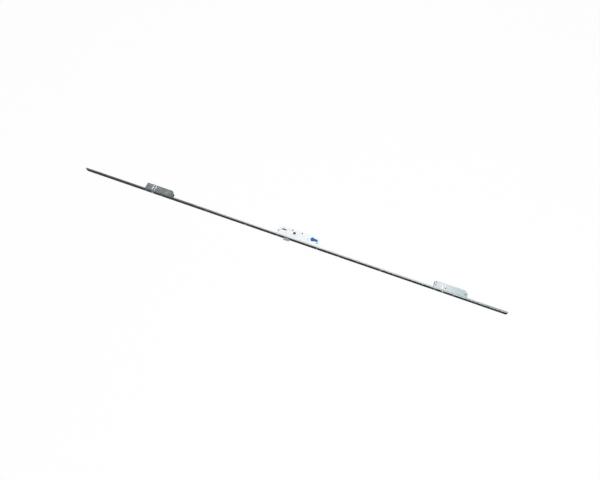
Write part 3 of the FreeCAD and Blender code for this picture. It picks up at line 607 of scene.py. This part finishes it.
def coil_points(length, radius, turns, wire, steps):
    """Helix on X: the angle goes evenly to turns. x starts half a wire in, stays level for the first
    END_TURN turns, climbs evenly by length less two wires, and rises by half a wire over the last END_TURN
    turns."""
    t = np.linspace(0.0, 1.0, steps)
    angle = 2 * np.pi * turns * t
    end = END_TURN / turns
    climb = np.clip((t - end) / (1 - 2 * end), 0.0, 1.0)
    last = np.clip((t - 1 + end) / end, 0.0, 1.0)
    x = wire / 2 + (length - 2 * wire) * climb + wire / 2 * last
    return np.stack([x, radius * np.cos(angle), radius * np.sin(angle)], axis=1)


def tube(points, radius, sides):
    """A circle of that radius carried along the points, square to the path: each point plus radius times
    the sum of cosine times radial and sine times across. radial leads away from the X axis, and across is
    square to it and to the path."""
    tangent = np.gradient(points, axis=0)
    tangent /= np.linalg.norm(tangent, axis=1, keepdims=True)
    radial = points * np.array([0.0, 1.0, 1.0])
    radial -= tangent * np.sum(radial * tangent, axis=1, keepdims=True)
    radial /= np.linalg.norm(radial, axis=1, keepdims=True)
    across = np.cross(tangent, radial)
    turn = np.linspace(0, 2 * np.pi, sides, endpoint=False)[None, :, None]
    ring = np.cos(turn) * radial[:, None, :] + np.sin(turn) * across[:, None, :]
    return (points[:, None, :] + radius * ring).reshape(-1, 3)


print("helix and tube ready,", STEPS_PER_TURN, "steps per turn")


def make_coil(name, node, axis, wire, turns, body):
    """A spring in the box of the sleeve node, along its axis (0 for X, 1 for Y). The helix is made on X,
    and rolling its three columns on by axis turns it there."""
    low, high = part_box(node)
    centre = (low + high) / 2
    length = high[axis] - low[axis]
    outer = (high.z - low.z) / 2
    steps = turns * STEPS_PER_TURN
    path = coil_points(length, outer - wire / 2, turns, wire, steps)
    skin = np.roll(tube(path, wire / 2, WIRE_SIDES), axis, axis=1)
    start = np.array(centre)
    start[axis] = low[axis]
    faces = grid_faces(steps, WIRE_SIDES)
    caps = [range(WIRE_SIDES - 1, -1, -1), range((steps - 1) * WIRE_SIDES, steps * WIRE_SIDES)]
    piece = new_piece(name, skin + start, faces, "spring_steel", body, caps)
    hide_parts(node)
    along, anchor = [0.0, 0.0, 0.0], list(centre)
    along[axis], anchor[axis] = 1.0, high[axis]
    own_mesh(piece)
    print(name, "wire", wire / MM, "mm,", turns, "turns,", len(faces), "faces")


make_coil("latch_spring_coil", "latch_spring", 1, 0.8 * MM, 8, "frame")
make_coil("follower_spring_coil", "follower_spring", 0, 0.7 * MM, 9, "frame")

# %% [markdown]
# Flange of the plug
# The moulded plug lies on the side plate with a thin soft flange, too thin for the solids. Its outline is
# the keyhole of the cylinder's cut-out made larger all round. The plug's own rim could be scaled up, but
# that would widen the round part more than the tail. A small rounded section is carried along the outline
# instead, and each of its points moves the whole outline out by the same distance.

# %% Keyhole outline and flange
# Points in mm: outwards from the plug's side, and up from the side plate. The section starts inside the plug.
FLANGE_SECTION = ((-0.3, 0.0), (0.85, 0.0), (1.0, 0.12), (0.95, 0.26), (0.75, 0.34), (-0.3, 0.4))
OUTLINE_POINTS = 240
# The tail's radius is smaller than the round part's by this.
ROUND_LESS_TAIL = 3.5 * MM
# The sine is held above this, so that nothing is divided by 0.
TINY = 1e-6


def keyhole_radius(angle, round_radius, tail_radius, tail_length):
    """Distance from the round part's middle to the outline: the larger of the circle's radius and the
    tail's reach, which is tail_radius over the sine along its flanks and the far circle's crossing over its
    rounded end."""
    sine, cosine = np.abs(np.sin(angle)), np.cos(angle)
    flank = tail_radius / np.maximum(sine, TINY)
    under_root = np.maximum(tail_radius**2 - (tail_length * sine) ** 2, 0.0)
    rounded = tail_length * cosine + np.sqrt(under_root)
    reach = np.where(flank * cosine <= tail_length, flank, rounded)
    return np.maximum(round_radius, np.where(cosine > 0, reach, 0.0))


def make_flange():
    """Each point (outwards, up) of the section gives a ring: the outline grown by outwards, at height up."""
    low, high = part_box("cylinder_plug")
    round_radius = (high.y - low.y) / 2
    middle_x, middle_y = low.x + round_radius, (low.y + high.y) / 2
    tail_radius = round_radius - ROUND_LESS_TAIL
    tail_length = high.x - middle_x - tail_radius
    angle = np.linspace(0, 2 * np.pi, OUTLINE_POINTS, endpoint=False)
    rings = []
    for outwards, up in FLANGE_SECTION:
        grown = outwards * MM
        radius = keyhole_radius(angle, round_radius + grown, tail_radius + grown, tail_length)
        height = np.full_like(angle, side_plate_z + up * MM)
        x, y = middle_x + radius * np.cos(angle), middle_y + radius * np.sin(angle)
        rings.append(np.stack([x, y, height], axis=1))
    faces = grid_faces(len(rings), OUTLINE_POINTS, ring=True)
    return new_piece("plug_flange", np.concatenate(rings), faces, "plug_plastic", "plug")


flange = make_flange()
print("flange", len(flange.data.polygons), "faces")

# %% [markdown]
# Floor
# The lock was photographed on white. A flat plane would show an edge in low views, so the floor is a pale
# disc that turns up into a wall at its rim. Most of its brightness is its own, for the camera and for what
# the steel reflects, and never from more light on the lock. A small share comes from the lamps, so it still
# takes a faint shadow.

# %% Floor and wall
FLOOR_RADIUS = 7.0
COVE_RADIUS = 2.0
COVE_STEPS = 24
WALL_HEIGHT = 6.0
SPOKES = 96
# The rings of the flat part: a small one in the middle, and eight more out to its rim.
FLAT_RADII = np.concatenate([[0.02], np.linspace(0.5, FLOOR_RADIUS, 8)])
MATT_WHITE = (0.9, 0.9, 0.9, 1.0)
PURE_WHITE = (1.0, 1.0, 1.0, 1.0)
OWN_LIGHT = 0.975


def make_white(name, own_light):
    """Pale matt paint that shows the camera and reflections its own white by the share own_light."""
    material, tree, shader = new_material(name)
    tree.nodes.remove(shader)
    matt = add_node(tree, "ShaderNodeBsdfDiffuse", Color=MATT_WHITE).outputs[0]
    glow = add_node(tree, "ShaderNodeEmission", Color=PURE_WHITE, Strength=1.0).outputs[0]
    path = add_node(tree, "ShaderNodeLightPath").outputs
    seen = math_node(tree, "MAXIMUM", path["Is Camera Ray"], path["Is Glossy Ray"])
    seen = math_node(tree, "MAXIMUM", seen, path["Is Transmission Ray"])
    mixed = add_node(tree, "ShaderNodeMixShader", i0=product(tree, seen, own_light), i1=matt, i2=glow)
    tree.links.new(mixed.outputs[0], tree.nodes["Material Output"].inputs["Surface"])
    return material


def make_backdrop():
    """A profile carried round Z: flat to FLOOR_RADIUS, then a quarter circle, whose radius grows with the
    sine of one angle and whose height grows with 1 less its cosine, and then the wall."""
    bend = np.linspace(0, np.pi / 2, COVE_STEPS)[1:]
    curved = FLOOR_RADIUS + COVE_RADIUS * np.sin(bend)
    rising = COVE_RADIUS * (1 - np.cos(bend))
    radii = np.concatenate([FLAT_RADII, curved, [FLOOR_RADIUS + COVE_RADIUS]])
    heights = np.concatenate([np.zeros_like(FLAT_RADII), rising, [COVE_RADIUS + WALL_HEIGHT]])
    around = np.linspace(0, 2 * np.pi, SPOKES, endpoint=False)
    x = radii[:, None] * np.cos(around)
    y = radii[:, None] * np.sin(around)
    z = np.repeat((heights + cad_low.z)[:, None], SPOKES, axis=1)
    vertices = np.stack([x, y, z], axis=-1).reshape(-1, 3)
    faces = grid_faces(len(radii), SPOKES)[:, ::-1]
    middle = range(SPOKES)
    backdrop = mesh_object("backdrop", vertices, faces, make_white("white_floor", OWN_LIGHT), [middle])


make_backdrop()
print("floor at z", round(cad_low.z / MM, 1), "mm")

# %% [markdown]
# Lamps
# The side plates face up, so each mirrors its own patch of the studio's ceiling: seen from this camera, the
# upper end of the rail mirrors a place far to the left, and the lower end one far to the right. One even
# lamp would make all plates the same white. Here a wide soft lamp over the middle makes them white there.
# The lamps beside it are dimmer and cooler, so the plates fall off to grey at both ends, and a small bright
# one shows in the burnished metal behind the upper slots. This camera sees nothing of the top lamp: it
# lights the plates for views from above and behind. The last lamp stands in front, where the plates mirror
# nothing of it either: it lights the plastic to its own colour and gives the shadow.

# %% Lamps
CEILING = 1.9
NEUTRAL = (1.0, 1.0, 1.0)


def add_lamp(name, place, target, size, radiance, tint=NEUTRAL):
    """A rectangular lamp at place, turned to target, of size (width, height) in metres. Its power is pi
    times width times height times radiance, so it looks as bright at any size."""
    data = bpy.data.lights.new(name, "AREA")
    data.shape = "RECTANGLE"
    data.size, data.size_y = size
    data.energy = math.pi * size[0] * size[1] * radiance
    data.color = tint
    lamp = bpy.data.objects.new(name, data)
    lamp.location = place
    lamp.rotation_euler = (Vector(target) - Vector(place)).to_track_quat("-Z", "Y").to_euler()
    lamp.visible_camera = False
    bpy.context.scene.collection.objects.link(lamp)


def add_ceiling_lamp(name, x, y, size, radiance, tint=NEUTRAL):
    """A lamp at the ceiling over x and y that looks straight down."""
    add_lamp(name, (x, y, CEILING), (x, y, 0.0), size, radiance, tint)


add_ceiling_lamp("main_softbox", 0.03, 0.9, (2.4, 1.0), 1.68, (0.99, 0.95, 0.94))
add_ceiling_lamp("lower_case_softbox", 1.435, 0.9, (0.39, 1.0), 0.98, (0.74, 0.97, 1.0))
add_ceiling_lamp("lower_end_softbox", 1.83, 0.9, (0.4, 1.0), 0.3, (0.77, 0.97, 1.0))
add_ceiling_lamp("top_softbox", 0.1, -0.65, (3.0, 1.7), 0.72)
add_ceiling_lamp("upper_end_spot", -1.885, 0.88, (0.14, 0.16), 2.4)
add_lamp("front_softbox", (1.9, -2.0, 2.4), (0.0, 0.0, 0.0), (3.0, 2.4), 5.0)

# %% [markdown]
# Sky
# A room is never black between its lamps. A weak bluish sky stands for its walls and fills what no lamp
# reaches, such as the sides of the cases. It is one even colour, so it draws no shape of its own in the
# metal.

# %% Sky
SKY_TINT = (0.86, 0.95, 1.0, 1.0)
SKY_STRENGTH = 0.085

world = bpy.data.worlds.new("studio")
world.use_nodes = True
sky = world.node_tree.nodes["Background"]
sky.inputs["Color"].default_value = SKY_TINT
sky.inputs["Strength"].default_value = SKY_STRENGTH
bpy.context.scene.world = world
print("sky strength", SKY_STRENGTH)

# %% [markdown]
# Camera
# The camera was found from points of the photograph: the ends of the rail, the corners of the outer cases,
# the spindle and the plug. It stands about two metres from the lock, a little in front of it and towards
# its lower end, with a short lens, so the lower end looks larger than the upper one. Its place is in
# metres, and right, down and forward are the directions of its picture, each of length 1. A camera could be
# aimed by eye, but then the sizes measured in the picture wouldn't hold.

# %% Camera
IMAGE_WIDTH = 600
FOCAL_PIXELS = 408.38
SENSOR_MM = 36.0
DROP_PIXELS = 0.65
CLIP_START = 0.01
CLIP_END = 100.0
camera_place = Vector((0.30427, -0.77347, 1.76367))
camera_right = Vector((0.9370354, 0.34897556, 0.0134431))
camera_down = Vector((0.32123403, -0.84616643, -0.42521885))
camera_forward = Vector((-0.13701589, 0.4027635, -0.90499072))

camera_data = bpy.data.cameras.new("camera")
camera_data.sensor_width = SENSOR_MM
camera_data.lens = FOCAL_PIXELS * SENSOR_MM / IMAGE_WIDTH
camera_data.shift_y = DROP_PIXELS / IMAGE_WIDTH
camera_data.clip_start = CLIP_START
camera_data.clip_end = CLIP_END
camera = bpy.data.objects.new("camera", camera_data)
turn = Matrix((camera_right, -camera_down, -camera_forward)).transposed()
camera.matrix_world = Matrix.Translation(camera_place) @ turn.to_4x4()
bpy.context.scene.collection.objects.link(camera)
bpy.context.scene.camera = camera
bpy.context.scene.view_settings.view_transform = "Standard"
print("lens", round(camera_data.lens, 2), "mm")
